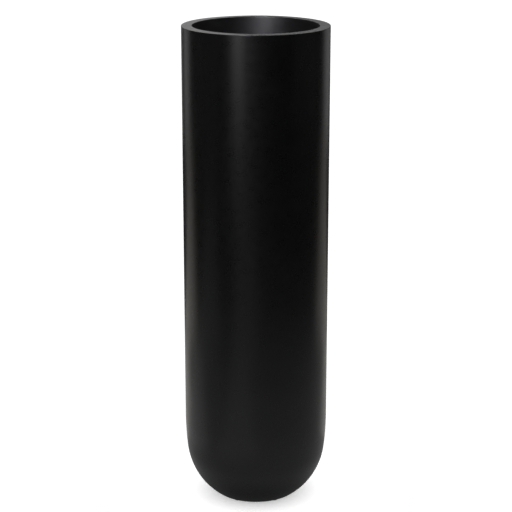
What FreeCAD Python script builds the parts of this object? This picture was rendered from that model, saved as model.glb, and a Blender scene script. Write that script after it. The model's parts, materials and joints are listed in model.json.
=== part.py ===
import FreeCAD, Part
import math
import os

# Tall round planter of glass-fibre laminate: a shell with a rounded lower end that stands
# on a small flat foot, and a flat rim ring bonded into its mouth. The plant grows in a
# lift-out liner that stands on a lift-out shelf. Millimetres, +Z up, origin on the floor
# under the middle of the planter.

# ---- Overall sizes ----
overall_height = 1200.0
outer_diameter = 360.0
rim_width = 26.0
foot_diameter = 208.0

# ---- Shell ----
shell_wall = 5.0
rim_edge_radius = 2.5
base_arc_radius = 169.0
blend_arc_radius = 800.0
blend_angle = math.radians(6.3)
foot_edge_radius = 3.0
foot_land_width = 23.0
recess_depth = 12.0
recess_draft = 3.0
recess_edge_radius = 2.0
bond_gap = 0.2

# ---- Rim ring: a flat top, an inner skirt and an outer flange bonded to the shell ----
rim_thickness = 6.0
skirt_depth = 50.0
skirt_wall = 4.0
bond_flange_depth = 30.0
bond_flange_wall = 3.0
ring_edge_radius = 1.5

# ---- Foot pads ----
pad_count = 6
pad_diameter = 17.0
pad_thickness = 3.0
pad_edge_chamfer = 0.5

# ---- Drain through the foot ----
drain_bore_diameter = 20.0
drain_tube_diameter = 27.0
drain_hole_clearance = 0.5
drain_flange_diameter = 44.0
drain_flange_thickness = 3.0
drain_gasket_thickness = 2.0
drain_nut_width = 40.0
drain_nut_height = 8.0
drain_thread_proud = 5.0
plug_clearance = 0.3
plug_length = 24.0
plug_taper = 0.4
plug_head_diameter = 30.0
plug_head_thickness = 4.0
plug_grip_width = 5.0
plug_grip_height = 3.0

# ---- Stiffening disc and cast weight in the foot ----
stiffener_inset = 10.0
stiffener_thickness = 12.0
stiffener_chamfer = 1.5
ballast_height = 100.0
ballast_hole_diameter = 90.0
ballast_edge_radius = 4.0

# ---- Shelf and the brackets that carry it ----
shelf_mouth_clearance = 4.0
shelf_skin = 5.0
shelf_depth = 25.0
shelf_hole_diameter = 60.0
shelf_rib_count = 6
shelf_rib_thickness = 5.0
shelf_rib_depth = 10.0
shelf_drain_diameter = 12.0
shelf_drain_inset = 13.5
shelf_edge_radius = 1.5
locating_ring_width = 3.0
locating_ring_height = 5.0
bracket_count = 4
bracket_angle = 18.0
bracket_ledge = 12.0
bracket_plate = 5.0
bracket_drop = 45.0
bracket_upstand = 12.0
shelf_side_clearance = 1.0

# ---- Liner ----
liner_height = 330.0
liner_top_gap = 12.0
liner_flange_width = 16.0
liner_draft = 15.0
liner_wall = 3.5
liner_floor = 4.0
liner_side_clearance = 4.0
liner_flange_thickness = 4.0
liner_lip_depth = 12.0
liner_corner_radius = 12.0
liner_edge_radius = 1.0
liner_gusset_count = 12
liner_gusset_thickness = 3.0
liner_gusset_depth = 30.0
liner_foot_count = 6
liner_foot_angle = 26.0
liner_foot_width = 14.0
liner_foot_height = 10.0
liner_foot_inset = 12.0
liner_foot_clearance = 1.5
liner_drain_count = 8
liner_drain_diameter = 10.0
liner_drain_inset = 13.0

# ---- Folding wire handles on the liner ----
wire_diameter = 5.0
wire_clearance = 0.3
handle_rise = 35.5
handle_bend_radius = 6.0
handle_edge_gap = 10.5
ear_length = 7.0
ear_wall = 1.9
ear_gap = 1.0
wire_end_proud = 2.0

# ---- Sizes that follow from those above ----
outer_radius = outer_diameter / 2
inner_radius = outer_radius - shell_wall
mouth_radius = outer_radius - rim_width
foot_radius = foot_diameter / 2
recess_radius = foot_radius - foot_land_width - recess_draft
foot_plane = pad_thickness
recess_top = foot_plane + recess_depth
floor_top = recess_top + shell_wall
rim_underside = overall_height - rim_thickness
skirt_bottom = overall_height - skirt_depth
drain_hole_radius = drain_tube_diameter / 2 + drain_hole_clearance
flange_bottom = recess_top - drain_gasket_thickness - drain_flange_thickness
stiffener_top = floor_top + stiffener_thickness
liner_flange_top = skirt_bottom - liner_top_gap
shelf_top = liner_flange_top - liner_height
ledge_height = shelf_top - shelf_depth
stiffener_radius = recess_radius - stiffener_inset
shelf_radius = mouth_radius - shelf_mouth_clearance
wire_radius = wire_diameter / 2
wire_hole_radius = wire_radius + wire_clearance
liner_flange_radius = mouth_radius - liner_side_clearance
liner_top_radius = liner_flange_radius - liner_flange_width
liner_bottom_radius = liner_top_radius - liner_draft
liner_foot_radius = liner_bottom_radius - liner_foot_inset
liner_drain_radius = liner_foot_radius - liner_foot_width - liner_drain_inset
locating_ring_radius = liner_foot_radius + liner_foot_clearance
shelf_drain_radius = locating_ring_radius - shelf_drain_inset
handle_radius = liner_flange_radius - handle_edge_gap
handle_axis_x = handle_radius - handle_rise
handle_axis_z = liner_flange_top + wire_radius + wire_clearance

up = FreeCAD.Vector(0, 0, 1)
origin = FreeCAD.Vector(0, 0, 0)


# ---- Helpers ----
def point(radius, height):
    return FreeCAD.Vector(radius, 0, height)


def on_circle(centre, radius, angle):
    """A point of the base outline, its angle measured down from the horizontal."""
    return point(centre[0] + radius * math.cos(angle), centre[1] - radius * math.sin(angle))


def line(start, end):
    return Part.LineSegment(start, end).toShape()


def arc(start, middle, end):
    return Part.Arc(start, middle, end).toShape()


def turned(edges, angle=360.0):
    """The solid that an outline in the XZ plane sweeps about the Z axis."""
    return Part.Face(Part.Wire(edges)).revolve(origin, up, angle)


def turned_polygon(corners, angle=360.0):
    points = [point(radius, height) for radius, height in corners]
    return turned([line(a, b) for a, b in zip(points, points[1:] + points[:1])], angle)


def disc(radius, bottom, height, x=0.0, y=0.0):
    return Part.makeCylinder(radius, height, FreeCAD.Vector(x, y, bottom))


def around(solid, count, first=0.0):
    """Copies of a solid, evenly spaced about the Z axis."""
    copies = []
    for index in range(count):
        copy = solid.copy()
        copy.rotate(origin, up, first + index * 360.0 / count)
        copies.append(copy)
    return copies


def ring_edges(solid, *rings):
    """The circular edges about the Z axis that have one of the given radii and heights."""
    found = []
    for edge in solid.Edges:
        if not isinstance(edge.Curve, Part.Circle):
            continue
        centre = edge.Curve.Center
        if math.hypot(centre.x, centre.y) > 0.01:
            continue
        for radius, height in rings:
            if abs(edge.Curve.Radius - radius) < 0.01 and abs(centre.z - height) < 0.01:
                found.append(edge)
    return found


def save(name, shape):
    shape.exportStep(os.path.join("parts", name + ".step"))


# ---- Outline of the shell, and lines parallel to it ----
def base_angles_and_height():
    """Where the base arc ends at the foot, and the height at which the straight wall begins."""
    shrink = blend_arc_radius * (1 - math.cos(blend_angle))
    run = (outer_radius - shrink - foot_radius) / base_arc_radius
    foot_angle = math.acos(math.cos(blend_angle) - run)
    blend_drop = blend_arc_radius * math.sin(blend_angle)
    base_drop = base_arc_radius * (math.sin(foot_angle) - math.sin(blend_angle))
    return foot_angle, foot_plane + blend_drop + base_drop


def base_arcs(inset):
    """Arcs from the foot up to the straight wall, at a distance inside the outer face."""
    wall_start = base_angles_and_height()[1]
    blend_centre = (outer_radius - blend_arc_radius, wall_start)
    reach = blend_arc_radius - base_arc_radius
    base_centre = (
        blend_centre[0] + reach * math.cos(blend_angle),
        blend_centre[1] - reach * math.sin(blend_angle),
    )
    radius = base_arc_radius - inset
    end_angle = math.asin((base_centre[1] - foot_plane - inset) / radius)
    foot_end = on_circle(base_centre, radius, end_angle)
    base_middle = on_circle(base_centre, radius, (end_angle + blend_angle) / 2)
    meeting = on_circle(base_centre, radius, blend_angle)
    blend_middle = on_circle(blend_centre, blend_arc_radius - inset, blend_angle / 2)
    wall_end = point(outer_radius - inset, wall_start)
    return foot_end, [arc(foot_end, base_middle, meeting), arc(meeting, blend_middle, wall_end)]


def body_of_revolution(inset, top):
    """The shell's full volume, drawn in by a distance, with a top above the rounding."""
    foot_end, arcs = base_arcs(inset)
    wall_bottom = arcs[-1].Vertexes[-1].Point
    centre = point(0, recess_top + inset)
    shoulder = point(recess_radius + inset, recess_top + inset)
    foot_start = point(recess_radius + recess_draft + inset, foot_plane + inset)
    wall_top = point(outer_radius - inset, top)
    cap = point(0, top)
    edges = [line(centre, shoulder), line(shoulder, foot_start), line(foot_start, foot_end)]
    edges += arcs
    edges += [line(wall_bottom, wall_top), line(wall_top, cap), line(cap, centre)]
    return turned(edges)


# ---- Fixed parts ----
def outer_shell():
    """The laminate shell: straight wall, rounded lower end and recessed foot."""
    solid = body_of_revolution(0.0, overall_height)
    solid = solid.makeFillet(foot_edge_radius, ring_edges(solid, (foot_radius, foot_plane)))
    recess_rings = [(recess_radius, recess_top), (recess_radius + recess_draft, foot_plane)]
    solid = solid.makeFillet(recess_edge_radius, ring_edges(solid, *recess_rings))
    solid = solid.cut(body_of_revolution(shell_wall, overall_height))
    solid = solid.cut(disc(drain_hole_radius, 0, floor_top + shell_wall))
    top_edge = ring_edges(solid, (outer_radius, overall_height))
    return solid.makeFillet(rim_edge_radius, top_edge)


def rim_ring():
    """The channel-section ring that makes the flat rim and the mouth's inner wall."""
    outside = inner_radius - bond_gap
    flange_inside = outside - bond_flange_wall
    flange_bottom_height = overall_height - bond_flange_depth
    skirt_outside = mouth_radius + skirt_wall
    ring = turned_polygon(
        [
            (mouth_radius, skirt_bottom),
            (skirt_outside, skirt_bottom),
            (skirt_outside, rim_underside),
            (flange_inside, rim_underside),
            (flange_inside, flange_bottom_height),
            (outside, flange_bottom_height),
            (outside, overall_height),
            (mouth_radius, overall_height),
        ]
    )
    mouth_edge = ring_edges(ring, (mouth_radius, overall_height))
    ring = ring.makeFillet(rim_edge_radius, mouth_edge)
    ends = ring_edges(ring, (mouth_radius, skirt_bottom), (skirt_outside, skirt_bottom))
    return ring.makeFillet(ring_edge_radius, ends)


def foot_pads():
    """Round rubber pads under the ring that the planter stands on."""
    land_inside = recess_radius + recess_draft + recess_edge_radius
    land_outside = foot_radius - foot_edge_radius
    pad = disc(pad_diameter / 2, 0, pad_thickness, (land_inside + land_outside) / 2)
    bottom = [edge for edge in pad.Edges if abs(edge.CenterOfMass.z) < 0.01]
    pad = pad.makeChamfer(pad_edge_chamfer, bottom)
    return Part.makeCompound(around(pad, pad_count))


def base_stiffener():
    """The board disc bonded inside the foot, which the drain fitting clamps."""
    board = disc(stiffener_radius, floor_top, stiffener_thickness)
    top_edge = ring_edges(board, (stiffener_radius, stiffener_top))
    board = board.makeChamfer(stiffener_chamfer, top_edge)
    return board.cut(disc(drain_hole_radius, 0, 2 * stiffener_top))


def ballast_ring():
    """The weight cast into the rounded end, with a well in the middle for the drain."""
    block = body_of_revolution(shell_wall + bond_gap, overall_height)
    block = block.common(disc(outer_radius, 0, ballast_height))
    around_board = disc(stiffener_radius + bond_gap, 0, stiffener_top)
    block = block.cut(around_board).cut(disc(ballast_hole_diameter / 2, 0, overall_height))
    well_edge = ring_edges(block, (ballast_hole_diameter / 2, ballast_height))
    return block.makeFillet(ballast_edge_radius, well_edge)


def shelf_bracket():
    """One bracket: a ledge on two side webs, a back plate on the wall and a locating rib."""
    back = inner_radius - bond_gap
    ledge_inside = shelf_radius - bracket_ledge
    rib_inside = shelf_radius + shelf_side_clearance
    full = turned_polygon(
        [
            (ledge_inside, ledge_height),
            (back, ledge_height),
            (back, ledge_height - bracket_drop),
            (back - bracket_plate, ledge_height - bracket_drop),
            (ledge_inside, ledge_height - 2 * bracket_plate),
        ],
        bracket_angle,
    )
    web_angle = math.degrees(bracket_plate / inner_radius)
    pocket = turned_polygon(
        [
            (ledge_inside - bracket_plate, ledge_height - bracket_plate),
            (back - bracket_plate, ledge_height - bracket_plate),
            (back - bracket_plate, ledge_height - 2 * bracket_drop),
            (ledge_inside - bracket_plate, ledge_height - 2 * bracket_drop),
        ],
        bracket_angle - 2 * web_angle,
    )
    pocket.rotate(origin, up, web_angle)
    rib = turned_polygon(
        [
            (rib_inside, ledge_height),
            (rib_inside + bracket_plate, ledge_height),
            (rib_inside + bracket_plate, ledge_height + bracket_upstand),
            (rib_inside, ledge_height + bracket_upstand),
        ],
        bracket_angle,
    )
    return full.cut(pocket).fuse(rib).removeSplitter()


def shelf_brackets():
    """The brackets bonded round the inside of the wall."""
    first = 45.0 - bracket_angle / 2
    return Part.makeCompound(around(shelf_bracket(), bracket_count, first))


# ---- Drain ----
def drain_fitting():
    """The flanged tube through the foot, with its flange in the recess."""
    tube_top = stiffener_top + drain_nut_height + drain_thread_proud
    tube = disc(drain_tube_diameter / 2, flange_bottom, tube_top - flange_bottom)
    flange = disc(drain_flange_diameter / 2, flange_bottom, drain_flange_thickness)
    solid = tube.fuse(flange).removeSplitter()
    edge = ring_edges(solid, (drain_flange_diameter / 2, flange_bottom))
    solid = solid.makeFillet(drain_flange_thickness / 3, edge)
    return solid.cut(disc(drain_bore_diameter / 2, 0, 2 * tube_top))


def drain_gasket():
    """The washer between the fitting's flange and the shell."""
    bottom = recess_top - drain_gasket_thickness
    washer = disc(drain_flange_diameter / 2, bottom, drain_gasket_thickness)
    return washer.cut(disc(drain_hole_radius, 0, 2 * recess_top))


def drain_nut():
    """The hexagon nut that draws the fitting up against the stiffening disc."""
    corner_radius = drain_nut_width / 2 / math.cos(math.pi / 6)
    corners = []
    for index in range(7):
        angle = index * math.pi / 3
        corners.append(
            FreeCAD.Vector(
                corner_radius * math.cos(angle), corner_radius * math.sin(angle), stiffener_top
            )
        )
    nut = Part.Face(Part.makePolygon(corners)).extrude(up * drain_nut_height)
    return nut.cut(disc(drain_tube_diameter / 2 + bond_gap, 0, overall_height))


def drain_plug():
    """The rubber bung that pulls out of the fitting from below, with a grip bar."""
    radius = drain_bore_diameter / 2 - plug_clearance
    stem = Part.makeCone(radius, radius - plug_taper, plug_length, point(0, flange_bottom))
    head_bottom = flange_bottom - plug_head_thickness
    head = disc(plug_head_diameter / 2, head_bottom, plug_head_thickness)
    edge = ring_edges(head, (plug_head_diameter / 2, head_bottom))
    head = head.makeFillet(plug_head_thickness / 3, edge)
    grip_length = plug_head_diameter - 2 * plug_grip_width
    grip = Part.makeBox(
        grip_length,
        plug_grip_width,
        plug_grip_height + plug_head_thickness / 2,
        FreeCAD.Vector(-grip_length / 2, -plug_grip_width / 2, head_bottom - plug_grip_height),
    )
    return stem.fuse([head, grip]).removeSplitter()


# ---- Shelf ----
def inner_shelf():
    """The moulded shelf: a skin with a turned-down edge, ribs, drain holes and a ring."""
    hole_radius = shelf_hole_diameter / 2
    skin_under = shelf_top - shelf_skin
    rib_under = skin_under - shelf_rib_depth
    pan = turned_polygon(
        [
            (hole_radius, shelf_top),
            (shelf_radius, shelf_top),
            (shelf_radius, ledge_height),
            (shelf_radius - shelf_skin, ledge_height),
            (shelf_radius - shelf_skin, skin_under),
            (hole_radius + shelf_skin, skin_under),
            (hole_radius + shelf_skin, rib_under),
            (hole_radius, rib_under),
        ]
    )
    pan = pan.makeFillet(shelf_edge_radius, ring_edges(pan, (shelf_radius, shelf_top)))
    rib_start = hole_radius + shelf_skin / 2
    rib = Part.makeBox(
        shelf_radius - shelf_skin / 2 - rib_start,
        shelf_rib_thickness,
        shelf_rib_depth + shelf_skin / 2,
        FreeCAD.Vector(rib_start, -shelf_rib_thickness / 2, rib_under),
    )
    ring = disc(locating_ring_radius + locating_ring_width, shelf_top, locating_ring_height)
    ring = ring.cut(disc(locating_ring_radius, shelf_top, locating_ring_height))
    shelf = pan.fuse(around(rib, shelf_rib_count) + [ring]).removeSplitter()
    drain = disc(shelf_drain_diameter / 2, ledge_height, 2 * shelf_depth, shelf_drain_radius)
    return shelf.cut(around(drain, shelf_rib_count, 180.0 / shelf_rib_count))


# ---- Liner ----
def ear_start():
    """How far along Y from the middle each ear begins, just past the handle's bend."""
    reach = handle_radius + handle_bend_radius
    return math.sqrt(reach**2 - (handle_axis_x + handle_bend_radius) ** 2) + ear_gap


def handle_ear(side, end):
    """A lug on the liner's flange, with the hole that the end of a handle turns in."""
    radius = wire_hole_radius + ear_wall
    near = ear_start() if end > 0 else -ear_start() - ear_length
    centre = FreeCAD.Vector(side * handle_axis_x, near, handle_axis_z)
    along = FreeCAD.Vector(0, 1, 0)
    root = liner_flange_top - liner_flange_thickness / 2
    base = Part.makeBox(
        2 * radius,
        ear_length,
        handle_axis_z - root,
        FreeCAD.Vector(centre.x - radius, near, root),
    )
    lug = base.fuse(Part.makeCylinder(radius, ear_length, centre, along))
    hole = Part.makeCylinder(
        wire_hole_radius, 3 * ear_length, centre - along * ear_length, along
    )
    return lug, hole


def liner_shell():
    """The tapered pot with its flange and turned-down lip."""
    floor_under = shelf_top + liner_foot_height
    flange_under = liner_flange_top - liner_flange_thickness
    lip_bottom = liner_flange_top - liner_lip_depth
    lip_inside = liner_flange_radius - liner_flange_thickness
    pot = turned_polygon(
        [
            (0, floor_under),
            (liner_bottom_radius, floor_under),
            (liner_top_radius, flange_under),
            (lip_inside, flange_under),
            (lip_inside, lip_bottom),
            (liner_flange_radius, lip_bottom),
            (liner_flange_radius, liner_flange_top),
            (0, liner_flange_top),
        ]
    )
    corner = ring_edges(pot, (liner_bottom_radius, floor_under))
    pot = pot.makeFillet(liner_corner_radius, corner)
    hollow_bottom = liner_bottom_radius - liner_wall
    hollow_top = liner_top_radius - liner_wall
    hollow_floor = floor_under + liner_floor
    hollow = Part.makeCone(
        hollow_bottom, hollow_top, liner_flange_top - hollow_floor, point(0, hollow_floor)
    )
    inner_corner = liner_corner_radius - liner_wall
    hollow = hollow.makeFillet(inner_corner, ring_edges(hollow, (hollow_bottom, hollow_floor)))
    pot = pot.cut(hollow)
    rims = [(liner_flange_radius, liner_flange_top), (hollow_top, liner_flange_top)]
    return pot.makeFillet(liner_edge_radius, ring_edges(pot, *rims))


def liner_gusset():
    """One web between the pot's wall and the underside of its flange."""
    flange_under = liner_flange_top - liner_flange_thickness
    inside = liner_top_radius - liner_wall / 2
    outside = liner_flange_radius - liner_flange_thickness / 2
    corners = [
        point(inside, flange_under + liner_flange_thickness / 2),
        point(outside, flange_under + liner_flange_thickness / 2),
        point(outside, liner_flange_top - liner_lip_depth + liner_edge_radius),
        point(inside, liner_flange_top - liner_gusset_depth),
    ]
    web = Part.Face(Part.makePolygon(corners + corners[:1]))
    web.translate(FreeCAD.Vector(0, -liner_gusset_thickness / 2, 0))
    return web.extrude(FreeCAD.Vector(0, liner_gusset_thickness, 0))


def planting_liner():
    """The lift-out liner with its feet, gussets, handle ears and drain holes."""
    foot_inside = liner_foot_radius - liner_foot_width
    floor_middle = shelf_top + liner_foot_height + liner_floor / 2
    foot = turned_polygon(
        [
            (foot_inside, shelf_top),
            (liner_foot_radius, shelf_top),
            (liner_foot_radius, floor_middle),
            (foot_inside, floor_middle),
        ],
        liner_foot_angle,
    )
    ears = [handle_ear(side, end) for side in (1, -1) for end in (1, -1)]
    added = around(foot, liner_foot_count, -liner_foot_angle / 2)
    added += around(liner_gusset(), liner_gusset_count, 180.0 / liner_gusset_count)
    added += [lug for lug, hole in ears]
    liner = liner_shell().fuse(added).removeSplitter()
    drain = disc(liner_drain_diameter / 2, shelf_top, liner_height / 2, liner_drain_radius)
    holes = around(drain, liner_drain_count) + [hole for lug, hole in ears]
    middle = disc(liner_drain_diameter / 2, shelf_top, liner_height / 2)
    return liner.cut(holes + [middle])


def liner_handle(side):
    """A wire handle that lies along the flange, its two ends turned out into the ears."""
    reach = handle_radius + handle_bend_radius
    bend_x = handle_axis_x + handle_bend_radius
    bend_y = math.sqrt(reach**2 - bend_x**2)
    sweep = math.atan2(bend_y, bend_x)
    stub_end = ear_start() + ear_length + wire_end_proud

    def place(x, y):
        return FreeCAD.Vector(side * x, y, handle_axis_z)

    def on_bend(angle):
        return place(
            bend_x - handle_bend_radius * math.cos(angle),
            bend_y - handle_bend_radius * math.sin(angle),
        )

    def mirrored(vector):
        return FreeCAD.Vector(vector.x, -vector.y, vector.z)

    arc_end = place(handle_radius * math.cos(sweep), handle_radius * math.sin(sweep))
    bend_middle = on_bend(sweep / 2)
    stub_start = place(handle_axis_x, bend_y)
    tip = place(handle_axis_x, stub_end)
    path = Part.Wire(
        [
            line(mirrored(tip), mirrored(stub_start)),
            arc(mirrored(stub_start), mirrored(bend_middle), mirrored(arc_end)),
            arc(mirrored(arc_end), place(handle_radius, 0), arc_end),
            arc(arc_end, bend_middle, stub_start),
            line(stub_start, tip),
        ]
    )
    section = Part.Wire(Part.makeCircle(wire_radius, mirrored(tip), FreeCAD.Vector(0, 1, 0)))
    return path.makePipeShell([section], True, False)


# ---- Build ----
os.makedirs("parts", exist_ok=True)

save("outer_shell", outer_shell())
save("rim_ring", rim_ring())
save("foot_pads", foot_pads())
save("base_stiffener", base_stiffener())
save("ballast_ring", ballast_ring())
save("shelf_brackets", shelf_brackets())
save("drain_fitting", drain_fitting())
save("drain_gasket", drain_gasket())
save("drain_nut", drain_nut())
save("drain_plug", drain_plug())
save("inner_shelf", inner_shelf())
save("planting_liner", planting_liner())
save("liner_handle_right", liner_handle(1))
save("liner_handle_left", liner_handle(-1))
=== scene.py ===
import json
import math

import bpy
from mathutils import Matrix, Vector


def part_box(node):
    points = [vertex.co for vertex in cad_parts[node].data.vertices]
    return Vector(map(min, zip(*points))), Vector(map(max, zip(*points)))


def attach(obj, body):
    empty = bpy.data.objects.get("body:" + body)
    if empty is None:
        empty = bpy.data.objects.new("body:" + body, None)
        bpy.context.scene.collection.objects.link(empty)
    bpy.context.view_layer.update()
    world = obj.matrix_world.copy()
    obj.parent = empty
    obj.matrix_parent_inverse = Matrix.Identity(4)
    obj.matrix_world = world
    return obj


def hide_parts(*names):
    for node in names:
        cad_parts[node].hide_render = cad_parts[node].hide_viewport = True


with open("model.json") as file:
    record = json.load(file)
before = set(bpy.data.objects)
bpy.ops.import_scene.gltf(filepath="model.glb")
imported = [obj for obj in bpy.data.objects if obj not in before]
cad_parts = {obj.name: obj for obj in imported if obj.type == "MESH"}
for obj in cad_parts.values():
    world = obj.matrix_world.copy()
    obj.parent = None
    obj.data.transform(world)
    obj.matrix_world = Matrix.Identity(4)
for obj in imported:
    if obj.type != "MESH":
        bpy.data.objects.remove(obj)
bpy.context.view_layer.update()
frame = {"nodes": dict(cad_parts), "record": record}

smoothAngle = 30         # degrees; sharper edges than this stay sharp
sameRadius = 1e-7        # a ring that grows by less than this share isn't scaled
inwardTurn = 0.5         # a face is turned inwards when more of its normal points at the axis
noiseLow = 0.3           # noise lies mostly between these two
noiseHigh = 0.7


# modelling helpers; outlines are lists of (radius, height) in metres

def deselectAll():
    if bpy.context.object and bpy.context.object.mode != "OBJECT":
        bpy.ops.object.mode_set(mode="OBJECT")
    bpy.ops.object.select_all(action="DESELECT")


def smoothed(piece):
    deselectAll()
    piece.select_set(True)
    bpy.context.view_layer.objects.active = piece
    bpy.ops.object.shade_smooth_by_angle(angle=math.radians(smoothAngle))
    piece.select_set(False)


def paintFaces(piece, material, chosen):
    # gives the faces that chosen(centre, normal) picks a finish of their own
    piece.data.materials.append(material)
    piece.active_material_index = len(piece.data.materials) - 1
    deselectAll()
    bpy.context.view_layer.objects.active = piece
    bpy.ops.object.mode_set(mode="EDIT")
    bpy.ops.mesh.select_mode(type="FACE")
    bpy.ops.mesh.select_all(action="DESELECT")
    bpy.ops.object.mode_set(mode="OBJECT")
    for face in piece.data.polygons:
        face.select = chosen(face.center, face.normal)
    bpy.ops.object.mode_set(mode="EDIT")
    bpy.ops.object.material_slot_assign()
    bpy.ops.object.mode_set(mode="OBJECT")


def facesInwards(centre, normal):
    # turned towards the planter's axis
    distance = math.hypot(centre.x, centre.y)
    return centre.x * normal.x + centre.y * normal.y < -inwardTurn * distance


def arcPoints(centre, radius, start, end, steps):
    # angles in radians, 0 towards the outside and a quarter turn up
    points = []
    for step in range(steps + 1):
        angle = start + (end - start) * step / steps
        across = centre[0] + radius * math.cos(angle)
        up = centre[1] + radius * math.sin(angle)
        points.append((across, up))
    return points


def roundedCorner(before, corner, after, rounding, steps, hold):
    # hold is a short flat step beside the arc, which keeps the flats flat when shaded smooth
    here = Vector(corner)
    back = (Vector(before) - here).normalized()
    ahead = (Vector(after) - here).normalized()
    half = back.angle(ahead) / 2
    setBack = rounding / math.tan(half)
    centre = here + (back + ahead).normalized() * rounding / math.sin(half)
    turn = math.pi - 2 * half
    if back.cross(ahead) > 0:
        turn = -turn
    spoke = here + back * setBack - centre
    points = [here + back * (setBack + hold)]
    for step in range(steps + 1):
        points.append(centre + Matrix.Rotation(turn * step / steps, 2) @ spoke)
    points.append(here + ahead * (setBack + hold))
    return [tuple(place) for place in points]


def turnedByHand(name, outline, spokes):
    # a circle is added at the outline's first point, and its ring is pulled from point to point
    deselectAll()
    radius, height = outline[0]
    bpy.ops.mesh.primitive_circle_add(
        vertices=spokes, radius=radius, fill_type="NOTHING", location=(0, 0, height)
    )
    piece = bpy.context.object
    piece.name = name
    bpy.ops.object.transform_apply(location=True, rotation=True, scale=True)
    bpy.ops.object.mode_set(mode="EDIT")
    bpy.ops.mesh.select_mode(type="EDGE")
    bpy.ops.mesh.select_all(action="SELECT")
    for nextRadius, nextHeight in outline[1:]:
        bpy.ops.mesh.extrude_edges_move(
            TRANSFORM_OT_translate={"value": (0, 0, nextHeight - height)}
        )
        grow = nextRadius / radius
        if abs(grow - 1) > sameRadius:
            bpy.ops.transform.resize(value=(grow, grow, 1), center_override=(0, 0, nextHeight))
        radius, height = nextRadius, nextHeight
    # close the last ring to the first
    bpy.ops.mesh.select_all(action="DESELECT")
    bpy.ops.mesh.select_non_manifold()
    bpy.ops.mesh.bridge_edge_loops()
    bpy.ops.mesh.select_all(action="SELECT")
    bpy.ops.mesh.normals_make_consistent(inside=False)
    bpy.ops.object.mode_set(mode="OBJECT")
    piece.select_set(False)
    return piece


# finishes

def newMaterial(name, baseColor, roughness):
    material = bpy.data.materials.new(name)
    material.use_nodes = True
    shader = material.node_tree.nodes["Principled BSDF"]
    shader.inputs["Base Color"].default_value = (*baseColor, 1)
    shader.inputs["Roughness"].default_value = roughness
    return material, shader


def addNode(material, kind, **settings):
    node = material.node_tree.nodes.new(kind)
    for key, value in settings.items():
        if key in node.inputs:
            node.inputs[key].default_value = value
        else:
            setattr(node, key, value)
    return node


def join(material, source, output, target, socket):
    material.node_tree.links.new(source.outputs[output], target.inputs[socket])


def noiseOn(material, place, size, detail):
    # size is the width of one spot in metres
    noise = addNode(material, "ShaderNodeTexNoise", Scale=1 / size, Detail=detail)
    join(material, place, "Object", noise, "Vector")
    return noise


def remapped(material, source, output, given, wanted, **settings):
    # given and wanted are both (low, high)
    ramp = addNode(material, "ShaderNodeMapRange", **settings)
    ramp.inputs["From Min"].default_value = given[0]
    ramp.inputs["From Max"].default_value = given[1]
    ramp.inputs["To Min"].default_value = wanted[0]
    ramp.inputs["To Max"].default_value = wanted[1]
    join(material, source, output, ramp, "Value")
    return ramp


def roughnessFrom(material, shader, source, low, high):
    ramp = remapped(material, source, "Fac", (noiseLow, noiseHigh), (low, high))
    join(material, ramp, "Result", shader, "Roughness")


def twoTone(material, shader, source, first, second):
    tones = addNode(material, "ShaderNodeValToRGB")
    tones.color_ramp.elements[0].position = noiseLow
    tones.color_ramp.elements[0].color = (*first, 1)
    tones.color_ramp.elements[1].position = noiseHigh
    tones.color_ramp.elements[1].color = (*second, 1)
    join(material, source, "Fac", tones, "Fac")
    join(material, tones, "Color", shader, "Base Color")


def bumpFrom(material, shader, source, output, depth, strength=1.0, over=None):
    bump = addNode(material, "ShaderNodeBump", Strength=strength, Distance=depth)
    join(material, source, output, bump, "Height")
    if over:
        join(material, over, "Normal", bump, "Normal")
    join(material, bump, "Normal", shader, "Normal")
    return bump


def satinBlackPaint(name, roughness, gloss):
    look = {
        "dark": (0.0008, 0.0008, 0.0008),
        "pale": (0.0014, 0.0014, 0.0014),
        "roughness": roughness,
        "roughnessSwing": 0.02,
        "cloud": 0.07,
        "speckle": 0.02,
        "handLayWave": 0.2,
        "handLayDepth": 0.0003,
        "orangePeel": 0.0028,
        "orangePeelDepth": 0.000008,
    }
    material, shader = newMaterial(name, look["dark"], look["roughness"])
    shader.inputs["Specular IOR Level"].default_value = gloss
    place = addNode(material, "ShaderNodeTexCoord")
    cloud = noiseOn(material, place, look["cloud"], detail=4.0)
    twoTone(material, shader, cloud, look["dark"], look["pale"])
    speckle = noiseOn(material, place, look["speckle"], detail=5.0)
    low = look["roughness"] - look["roughnessSwing"]
    high = look["roughness"] + look["roughnessSwing"]
    roughnessFrom(material, shader, speckle, low, high)
    wave = noiseOn(material, place, look["handLayWave"], detail=1.0)
    waveBump = bumpFrom(material, shader, wave, "Fac", look["handLayDepth"])
    peel = noiseOn(material, place, look["orangePeel"], detail=2.0)
    bumpFrom(material, shader, peel, "Fac", look["orangePeelDepth"], over=waveBump)
    return material


def mattRubber(name):
    look = {
        "dark": (0.016, 0.016, 0.016),
        "pale": (0.032, 0.031, 0.030),
        "roughness": 0.75,
        "grain": 0.0009,
        "grainDepth": 0.00008,
        "bloom": 0.012,
    }
    material, shader = newMaterial(name, look["dark"], look["roughness"])
    place = addNode(material, "ShaderNodeTexCoord")
    bloom = noiseOn(material, place, look["bloom"], detail=3.0)
    twoTone(material, shader, bloom, look["dark"], look["pale"])
    grain = noiseOn(material, place, look["grain"], detail=3.0)
    bumpFrom(material, shader, grain, "Fac", look["grainDepth"])
    return material


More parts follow.
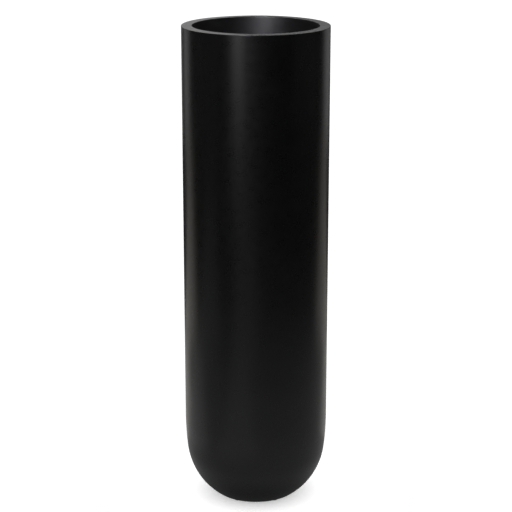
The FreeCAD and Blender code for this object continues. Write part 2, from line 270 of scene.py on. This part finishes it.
def mouldedPlastic(name, dark, pale, roughness, stipple):
    look = {
        "flow": stipple * 60,
        "stippleDepth": stipple * 0.06,
        "glossiest": roughness - 0.05,
        "dullest": roughness + 0.06,
    }
    material, shader = newMaterial(name, dark, roughness)
    place = addNode(material, "ShaderNodeTexCoord")
    flow = noiseOn(material, place, look["flow"], detail=3.0)
    twoTone(material, shader, flow, dark, pale)
    roughnessFrom(material, shader, flow, look["glossiest"], look["dullest"])
    dimples = noiseOn(material, place, stipple, detail=2.0)
    bumpFrom(material, shader, dimples, "Fac", look["stippleDepth"])
    return material


def rawLaminate(name):
    look = {
        "dark": (0.010, 0.010, 0.010),
        "pale": (0.040, 0.038, 0.033),
        "roughness": 0.5,
        "resin": 0.020,
        "strand": 0.004,
        "strandDepth": 0.0006,
        "strandStrength": 0.6,
    }
    material, shader = newMaterial(name, look["dark"], look["roughness"])
    place = addNode(material, "ShaderNodeTexCoord")
    resin = noiseOn(material, place, look["resin"], detail=4.0)
    twoTone(material, shader, resin, look["dark"], look["pale"])
    strands = addNode(
        material, "ShaderNodeTexVoronoi", feature="DISTANCE_TO_EDGE", Scale=1 / look["strand"]
    )
    join(material, place, "Object", strands, "Vector")
    bumpFrom(material, shader, strands, "Distance", look["strandDepth"], look["strandStrength"])
    return material


def castConcrete():
    look = {
        "dark": (0.24, 0.235, 0.22),
        "pale": (0.42, 0.41, 0.39),
        "roughness": 0.9,
        "sand": 0.0022,
        "sandDepth": 0.0005,
        "pore": 0.012,
        "poreDepth": 0.0012,
        "poreStrength": 0.5,
        "stain": 0.04,
    }
    material, shader = newMaterial("castConcrete", look["dark"], look["roughness"])
    place = addNode(material, "ShaderNodeTexCoord")
    stain = noiseOn(material, place, look["stain"], detail=5.0)
    twoTone(material, shader, stain, look["dark"], look["pale"])
    pores = addNode(material, "ShaderNodeTexVoronoi", Scale=1 / look["pore"])
    join(material, place, "Object", pores, "Vector")
    sand = noiseOn(material, place, look["sand"], detail=4.0)
    sandBump = bumpFrom(material, shader, sand, "Fac", look["sandDepth"])
    bumpFrom(
        material, shader, pores, "Distance", look["poreDepth"], look["poreStrength"], over=sandBump
    )
    return material


def plywoodBoard():
    look = {
        "dark": (0.28, 0.17, 0.085),
        "pale": (0.52, 0.36, 0.20),
        "roughness": 0.65,
        "bandsPerMetre": 20,
        "waver": 6.0,
        "fineness": 3.0,
        "figureDepth": 0.0003,
    }
    material, shader = newMaterial("plywoodBoard", look["dark"], look["roughness"])
    place = addNode(material, "ShaderNodeTexCoord")
    figure = addNode(
        material, "ShaderNodeTexWave", bands_direction="Y", Scale=look["bandsPerMetre"],
        Distortion=look["waver"], Detail=look["fineness"]
    )
    join(material, place, "Object", figure, "Vector")
    twoTone(material, shader, figure, look["dark"], look["pale"])
    bumpFrom(material, shader, figure, "Fac", look["figureDepth"])
    return material


def drawnWire():
    look = {
        "dark": (0.42, 0.42, 0.41),
        "pale": (0.62, 0.61, 0.59),
        "roughness": 0.3,
        "glossiest": 0.24,
        "dullest": 0.42,
        "drawLine": 0.0007,
        "drawLineDepth": 0.00004,
        "squeeze": (1, 0.06, 1),    # the drawing lines run along the wire
        "haze": 0.012,
    }
    material, shader = newMaterial("drawnWire", look["dark"], look["roughness"])
    shader.inputs["Metallic"].default_value = 1.0
    place = addNode(material, "ShaderNodeTexCoord")
    stretch = addNode(material, "ShaderNodeMapping")
    stretch.inputs["Scale"].default_value = look["squeeze"]
    join(material, place, "Object", stretch, "Vector")
    lines = addNode(material, "ShaderNodeTexNoise", Scale=1 / look["drawLine"], Detail=3.0)
    join(material, stretch, "Vector", lines, "Vector")
    haze = noiseOn(material, place, look["haze"], detail=3.0)
    twoTone(material, shader, haze, look["dark"], look["pale"])
    roughnessFrom(material, shader, lines, look["glossiest"], look["dullest"])
    bumpFrom(material, shader, lines, "Fac", look["drawLineDepth"])
    return material


print("finishes")
finishes = {
    "shell_finish": satinBlackPaint("satinBlackPaint", roughness=0.285, gloss=0.5),
    "pad_rubber": mattRubber("padRubber"),
    "drain_rubber": mattRubber("drainRubber"),
    "stiffener_board": plywoodBoard(),
    "ballast_concrete": castConcrete(),
    "bracket_laminate": rawLaminate("bracketLaminate"),
    "drain_plastic": mouldedPlastic(
        "drainPlastic", (0.05, 0.05, 0.052), (0.075, 0.075, 0.078), roughness=0.45, stipple=0.0006
    ),
    "shelf_plastic": mouldedPlastic(
        "shelfPlastic", (0.03, 0.03, 0.03), (0.05, 0.05, 0.05), roughness=0.55, stipple=0.0009
    ),
    "liner_plastic": mouldedPlastic(
        "linerPlastic", (0.012, 0.012, 0.012), (0.022, 0.022, 0.022), roughness=0.5, stipple=0.0009
    ),
    "handle_wire": drawnWire(),
}
mouthLook = {
    "roughness": 0.38,
    "gloss": 1.0,
    "refraction": 1.62,
}
mouthPaint = satinBlackPaint("satinBlackMouth", mouthLook["roughness"], mouthLook["gloss"])
mouthShader = mouthPaint.node_tree.nodes["Principled BSDF"]
mouthShader.inputs["IOR"].default_value = mouthLook["refraction"]
bareLaminate = rawLaminate("bareLaminate")
slotOfNode = {part["node"]: part["material_slot"] for part in frame["record"]["subparts"]}
for node, cadPiece in frame["nodes"].items():
    for index in range(len(cadPiece.material_slots)):
        cadPiece.material_slots[index].material = finishes[slotOfNode[node]]


def finishPiece(piece, slot, node):
    piece.data.materials.clear()
    piece.data.materials.append(finishes[slot])
    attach(piece, "planter")
    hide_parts(node)


print("outer shell")
shell = {
    "wall": 0.005,
    "rimRounding": 0.0010,
    "rimSteps": 8,
    "rimHold": 0.0002,
    "footRadius": 0.104,
    "baseArc": 0.169,
    "baseSteps": 40,
    "blendArc": 0.8,
    "blendAngle": math.radians(6.3),
    "blendSteps": 10,
    "footRounding": 0.003,
    "footSteps": 8,
    "landWidth": 0.023,
    "recessDepth": 0.012,
    "recessDraft": 0.003,
    "recessRounding": 0.002,
    "recessSteps": 6,
    "recessHold": 0.0003,
    "drainHoleRadius": 0.014,
    "spokes": 240,
    "paintedTop": 0.0001,      # the bare laminate starts this far below the rim
    "paintedRecess": 0.001,    # and this far above the roof of the recess
    "floorTurn": 0.3,          # upward part of the normal that makes a face part of the inner floor
}
shellLow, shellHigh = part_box("outer_shell")
footHeight = shellLow.z
rimHeight = shellHigh.z
outerRadius = shellHigh.x
innerRadius = outerRadius - shell["wall"]


def baseCircles():
    # the big arc of the rounded end, and the gentle arc that runs into the straight wall
    sine = math.sin(shell["blendAngle"])
    cosine = math.cos(shell["blendAngle"])
    run = outerRadius - shell["blendArc"] * (1 - cosine) - shell["footRadius"]
    footAngle = math.acos(cosine - run / shell["baseArc"])
    baseRise = shell["baseArc"] * (math.sin(footAngle) - sine)
    wallStart = footHeight + shell["blendArc"] * sine + baseRise
    blendCentre = (outerRadius - shell["blendArc"], wallStart)
    reach = shell["blendArc"] - shell["baseArc"]
    baseCentre = (blendCentre[0] + reach * cosine, blendCentre[1] - reach * sine)
    return baseCentre, blendCentre


def roundedEnd(inset, lowest):
    # from a height near the foot up to the straight wall
    baseCentre, blendCentre = baseCircles()
    baseRadius = shell["baseArc"] - inset
    start = -math.asin((baseCentre[1] - lowest) / baseRadius)
    meeting = -shell["blendAngle"]
    base = arcPoints(baseCentre, baseRadius, start, meeting, shell["baseSteps"])
    blendRadius = shell["blendArc"] - inset
    return base + arcPoints(blendCentre, blendRadius, meeting, 0, shell["blendSteps"])[1:]


def footEdge():
    # the rounding between the flat of the foot and the big arc
    baseCentre = baseCircles()[0]
    rounding = shell["footRounding"]
    height = footHeight + rounding
    reach = shell["baseArc"] - rounding
    slope = math.asin((baseCentre[1] - height) / reach)
    centre = (baseCentre[0] + reach * math.cos(slope), height)
    points = arcPoints(centre, rounding, -math.pi / 2, -slope, shell["footSteps"])
    return points, footHeight + rounding * (1 - math.sin(slope))


def shellOutline():
    wall = shell["wall"]
    recessTop = footHeight + shell["recessDepth"]
    landInside = shell["footRadius"] - shell["landWidth"]
    shoulder = (landInside - shell["recessDraft"], recessTop)
    landStart = (landInside, footHeight)
    edge, edgeTop = footEdge()
    holeLow = (shell["drainHoleRadius"], recessTop)
    recessRound = (shell["recessRounding"], shell["recessSteps"], shell["recessHold"])
    rimRound = (shell["rimRounding"], shell["rimSteps"], shell["rimHold"])
    outline = [holeLow]
    outline += roundedCorner(holeLow, shoulder, landStart, *recessRound)
    outline += roundedCorner(shoulder, landStart, edge[0], *recessRound)
    outline += edge
    outline += roundedEnd(0, edgeTop)[1:]
    wallTop = (outerRadius, rimHeight)
    innerTop = (innerRadius, rimHeight)
    outline += roundedCorner(outline[-1], wallTop, innerTop, *rimRound)
    outline.append(innerTop)
    outline += reversed(roundedEnd(wall, footHeight + wall))
    outline.append((landInside + wall, footHeight + wall))
    outline.append((shoulder[0] + wall, recessTop + wall))
    outline.append((shell["drainHoleRadius"], recessTop + wall))
    return outline


outerShell = turnedByHand("outerShell", shellOutline(), shell["spokes"])
smoothed(outerShell)
finishPiece(outerShell, "shell_finish", "outer_shell")


def insideShell(centre, normal):
    # the bare laminate of the inner wall and the inner floor
    awayFromTop = centre.z < rimHeight - shell["paintedTop"]
    aboveRecess = centre.z > footHeight + shell["recessDepth"] + shell["paintedRecess"]
    inWall = facesInwards(centre, normal) and aboveRecess
    return awayFromTop and (inWall or normal.z > shell["floorTurn"])


paintFaces(outerShell, bareLaminate, insideShell)


print("rim ring")
ring = {
    "mouthRadius": 0.154,
    "topThickness": 0.006,
    "skirtWall": 0.004,
    "flangeWall": 0.003,
    "flangeDepth": 0.030,
    "rounding": 0.0010,
    "skirtRounding": 0.0015,
    "roundingSteps": 8,
    "roundingHold": 0.0002,
    "spokes": 240,
    "topTurn": 0.9,            # upward part of the normal that makes a face part of the painted top
}
skirtMiddle = ring["mouthRadius"] + ring["skirtWall"] / 2


def ringOutline():
    # the top meets the shell's edge flush, because the joint is filled before painting
    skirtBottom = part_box("rim_ring")[0].z
    under = rimHeight - ring["topThickness"]
    outside = innerRadius
    flangeInside = outside - ring["flangeWall"]
    skirtOutside = ring["mouthRadius"] + ring["skirtWall"]
    corners = [
        (outside, rimHeight, 0),
        (ring["mouthRadius"], rimHeight, ring["rounding"]),
        (ring["mouthRadius"], skirtBottom, ring["skirtRounding"]),
        (skirtOutside, skirtBottom, ring["skirtRounding"]),
        (skirtOutside, under, 0),
        (flangeInside, under, 0),
        (flangeInside, rimHeight - ring["flangeDepth"], 0),
        (outside, rimHeight - ring["flangeDepth"], 0),
    ]
    outline = []
    for index, (radius, height, rounding) in enumerate(corners):
        if rounding == 0:
            outline.append((radius, height))
            continue
        before = corners[index - 1][:2]
        after = corners[index + 1][:2]
        outline += roundedCorner(
            before, (radius, height), after, rounding, ring["roundingSteps"], ring["roundingHold"]
        )
    return outline


rimRing = turnedByHand("rimRing", ringOutline(), ring["spokes"])
smoothed(rimRing)
finishPiece(rimRing, "shell_finish", "rim_ring")


def mouthWall(centre, normal):
    nearMouth = math.hypot(centre.x, centre.y) < skirtMiddle
    return nearMouth and facesInwards(centre, normal)


def ringUnderside(centre, normal):
    behindSkirt = math.hypot(centre.x, centre.y) > skirtMiddle
    return behindSkirt and normal.z < ring["topTurn"]


paintFaces(rimRing, mouthPaint, mouthWall)
paintFaces(rimRing, bareLaminate, ringUnderside)


print("camera")
view = {
    "distance": 3.8570,        # from the planter's axis, along the floor
    "height": 1.7179,
    "tilt": 0.27647,           # below the horizontal, in radians
    "focalPixels": 1604.65,
    "imagePixels": 512,
    "axisPixel": 255.867,      # column of the planter's axis in the photograph
    "sensor": 36.0,
    "farthest": 200,
}
cameraData = bpy.data.cameras.new("photoCamera")
cameraData.sensor_width = view["sensor"]
cameraData.lens = view["focalPixels"] * view["sensor"] / view["imagePixels"]
cameraData.clip_end = view["farthest"]
photoCamera = bpy.data.objects.new("photoCamera", cameraData)
bpy.context.scene.collection.objects.link(photoCamera)
sideStep = (view["imagePixels"] / 2 - view["axisPixel"]) * view["distance"] / view["focalPixels"]
photoCamera.location = (sideStep, -view["distance"], view["height"])
photoCamera.rotation_euler = (math.pi / 2 - view["tilt"], 0, 0)
bpy.context.scene.camera = photoCamera


print("floor")
floorLook = {
    "size": 60,
    "white": (0.82, 0.82, 0.82),
    "ownLightNear": 0.44,      # painted light: the floor glows this much near the planter, which keeps the contact shadow pale
    "ownLightFar": 0.07,
    "ownLightFade": (0.20, 0.42),  # distances from the axis between which it changes
    "footGlow": 0.07,          # what gloss sees of the floor at the foot, dimmed there as a painted contact shadow
    "nearGlow": 0.30,          # beside the planter
    "farGlow": 0.02,           # and further off
    "footFade": (0.10, 0.24),  # distances between which foot changes to near
    "farFade": (0.45, 2.3),    # and near to far
}
deselectAll()
bpy.ops.mesh.primitive_plane_add(size=floorLook["size"])
floor = bpy.context.object
floor.name = "floor"
floorPaint = bpy.data.materials.new("floorPaint")
floorPaint.use_nodes = True
floorPaint.node_tree.nodes.clear()
rayKind = addNode(floorPaint, "ShaderNodeLightPath")
diffuse = addNode(floorPaint, "ShaderNodeBsdfDiffuse", Color=(*floorLook["white"], 1))
place = addNode(floorPaint, "ShaderNodeTexCoord")
distance = addNode(floorPaint, "ShaderNodeVectorMath", operation="LENGTH")
join(floorPaint, place, "Object", distance, 0)


def gradedByDistance(reach, first, last):
    return remapped(
        floorPaint, distance, "Value", reach, (first, last), interpolation_type="SMOOTHSTEP"
    )


farShare = floorLook["farGlow"] / floorLook["nearGlow"]
footFade = gradedByDistance(floorLook["footFade"], floorLook["footGlow"], floorLook["nearGlow"])
farFade = gradedByDistance(floorLook["farFade"], 1, farShare)
ownFade = gradedByDistance(
    floorLook["ownLightFade"], floorLook["ownLightNear"], floorLook["ownLightFar"]
)
glowFade = addNode(floorPaint, "ShaderNodeMath", operation="MULTIPLY")
join(floorPaint, footFade, "Result", glowFade, 0)
join(floorPaint, farFade, "Result", glowFade, 1)
# painted light: the floor glows by itself, more near the planter, lightening its contact shadow
ownLight = addNode(floorPaint, "ShaderNodeEmission")
join(floorPaint, ownFade, "Result", ownLight, "Strength")
litFloor = addNode(floorPaint, "ShaderNodeAddShader")
join(floorPaint, diffuse, "BSDF", litFloor, 0)
join(floorPaint, ownLight, "Emission", litFloor, 1)
# painted reflection: gloss sees the floor as this glow, dark at the foot, bright beside the planter,
# faint further off
glow = addNode(floorPaint, "ShaderNodeEmission")
join(floorPaint, glowFade, "Value", glow, "Strength")
choice = addNode(floorPaint, "ShaderNodeMixShader")
join(floorPaint, rayKind, "Is Glossy Ray", choice, 0)
join(floorPaint, litFloor, "Shader", choice, 1)
join(floorPaint, glow, "Emission", choice, 2)
fromBelow = addNode(floorPaint, "ShaderNodeMixShader")  # clear when seen from underneath
sides = addNode(floorPaint, "ShaderNodeNewGeometry")
clear = addNode(floorPaint, "ShaderNodeBsdfTransparent")
join(floorPaint, sides, "Backfacing", fromBelow, 0)
join(floorPaint, choice, "Shader", fromBelow, 1)
join(floorPaint, clear, "BSDF", fromBelow, 2)
floorOutput = addNode(floorPaint, "ShaderNodeOutputMaterial")
join(floorPaint, fromBelow, "Shader", floorOutput, "Surface")
floor.data.materials.append(floorPaint)


print("studio light")
studio = {
    "backdrop": 1.2,           # what the camera sees past the floor
    "fillFront": 0.82,         # soft light from the camera's side
    "fillBack": 1.48,          # and from the sides and behind
    "turnover": (-0.1, -0.8),  # Y of the direction, from all back to all front
    "white": (1, 1, 1, 1),
}
world = bpy.data.worlds.new("studio")
world.use_nodes = True
world.node_tree.nodes.clear()
world.cycles_visibility.glossy = False  # gloss sees only the softboxes, the cards and the floor
bpy.context.scene.world = world
skyRayKind = addNode(world, "ShaderNodeLightPath")
backdrop = addNode(
    world, "ShaderNodeBackground", Color=studio["white"], Strength=studio["backdrop"]
)
fill = addNode(world, "ShaderNodeBackground", Color=studio["white"])
skyPlace = addNode(world, "ShaderNodeTexCoord")
skySides = addNode(world, "ShaderNodeSeparateXYZ")
join(world, skyPlace, "Generated", skySides, "Vector")
fillStrengths = (studio["fillBack"], studio["fillFront"])
fromFront = remapped(
    world, skySides, "Y", studio["turnover"], fillStrengths, interpolation_type="SMOOTHSTEP"
)
join(world, fromFront, "Result", fill, "Strength")
forCamera = addNode(world, "ShaderNodeMixShader")
join(world, skyRayKind, "Is Camera Ray", forCamera, 0)
join(world, fill, "Background", forCamera, 1)
join(world, backdrop, "Background", forCamera, 2)
worldOutput = addNode(world, "ShaderNodeOutputWorld")
join(world, forCamera, "Shader", worldOutput, "Surface")

# softboxes stand round the planter and face it; bearings are in degrees from the camera's side
# towards the left, and sizes are (width, height)
softboxAim = Vector((0, 0, 0.75))
softboxReach = 4.0
plainWhite = (1, 1, 1)
coolWhite = (0.98, 0.96, 1.06)
softboxes = {
    "key": {"bearing": 15, "elevation": 30, "size": (0.9, 1.4), "brightness": 31, "tint": coolWhite},
    "keyLow": {"bearing": 27, "elevation": 8, "size": (1.1, 1.5), "brightness": 1.8},
    "sideLeft": {"bearing": 80, "elevation": -1, "size": (3.4, 1.1), "brightness": 0.07},
    "sideRight": {"bearing": -80, "elevation": -1, "size": (3.4, 1.1), "brightness": 0.055},
    "edgeLeft": {"bearing": 132, "elevation": 6, "size": (1.4, 2.2), "brightness": 0.46},
    "backLeft": {"bearing": 168, "elevation": 6, "size": (1.5, 2.2), "brightness": 0.48},
    "backHigh": {"bearing": 180, "elevation": 35, "size": (3.0, 1.8), "brightness": 1.25},
    "backRight": {"bearing": -168, "elevation": 8, "size": (1.5, 1.8), "brightness": 0.17},
    "edgeRight": {"bearing": -140, "elevation": 6, "size": (2.0, 2.2), "brightness": 0.34},
}
# white cards lie on the floor; sizes are (across, away from the planter)
cardHeight = 0.004
warmWhite = (1.05, 1, 0.91)
floorCards = {
    "cardFrontLeft": {"bearing": 14, "distance": 2.3, "size": (1.1, 2.0), "brightness": 0.10},
    "cardNearFrontLeft": {"bearing": 25, "distance": 0.85, "size": (0.5, 0.9), "brightness": 0.10},
    "cardLeft": {"bearing": 75, "distance": 2.3, "size": (1.1, 2.0), "brightness": 0.14},
    "cardNearLeft": {"bearing": 100, "distance": 0.85, "size": (0.5, 0.9), "brightness": 0.15},
    "cardBackLeft": {
        "bearing": 125, "distance": 2.75, "size": (1.2, 2.9), "brightness": 0.42,
        "tint": warmWhite,
    },
    "cardNearBackLeft": {
        "bearing": 145, "distance": 0.85, "size": (0.7, 0.9), "brightness": 0.30,
        "tint": warmWhite,
    },
    "cardBackRight": {
        "bearing": -130, "distance": 2.75, "size": (1.4, 2.9), "brightness": 0.31,
        "tint": warmWhite,
    },
    "cardNearBackRight": {
        "bearing": -150, "distance": 0.85, "size": (0.7, 0.9), "brightness": 0.25,
        "tint": warmWhite,
    },
}


def panelOfLight(name, box, location, turn):
    data = bpy.data.lights.new(name, "AREA")
    data.shape = "RECTANGLE"
    data.size, data.size_y = box["size"]
    data.energy = box["brightness"] * math.pi * data.size * data.size_y  # watts for that brightness
    data.color = box.get("tint", plainWhite)
    panel = bpy.data.objects.new(name, data)
    panel.location = location
    panel.rotation_euler = turn
    panel.visible_camera = False
    panel.visible_diffuse = False  # only gloss sees it
    bpy.context.scene.collection.objects.link(panel)


for name, box in softboxes.items():
    bearing = math.radians(box["bearing"])
    elevation = math.radians(box["elevation"])
    outward = Vector((-math.sin(bearing), -math.cos(bearing), 0)) * math.cos(elevation)
    outward.z = math.sin(elevation)
    location = softboxAim + outward * softboxReach
    panelOfLight(name, box, location, outward.to_track_quat("Z", "Y").to_euler())
for name, card in floorCards.items():
    bearing = math.radians(card["bearing"])
    outward = Vector((-math.sin(bearing), -math.cos(bearing), 0))
    location = outward * card["distance"] + Vector((0, 0, cardHeight))
    panelOfLight(name, card, location, (math.pi, 0, math.pi - bearing))  # facing up

bpy.context.scene.view_settings.view_transform = "Standard"
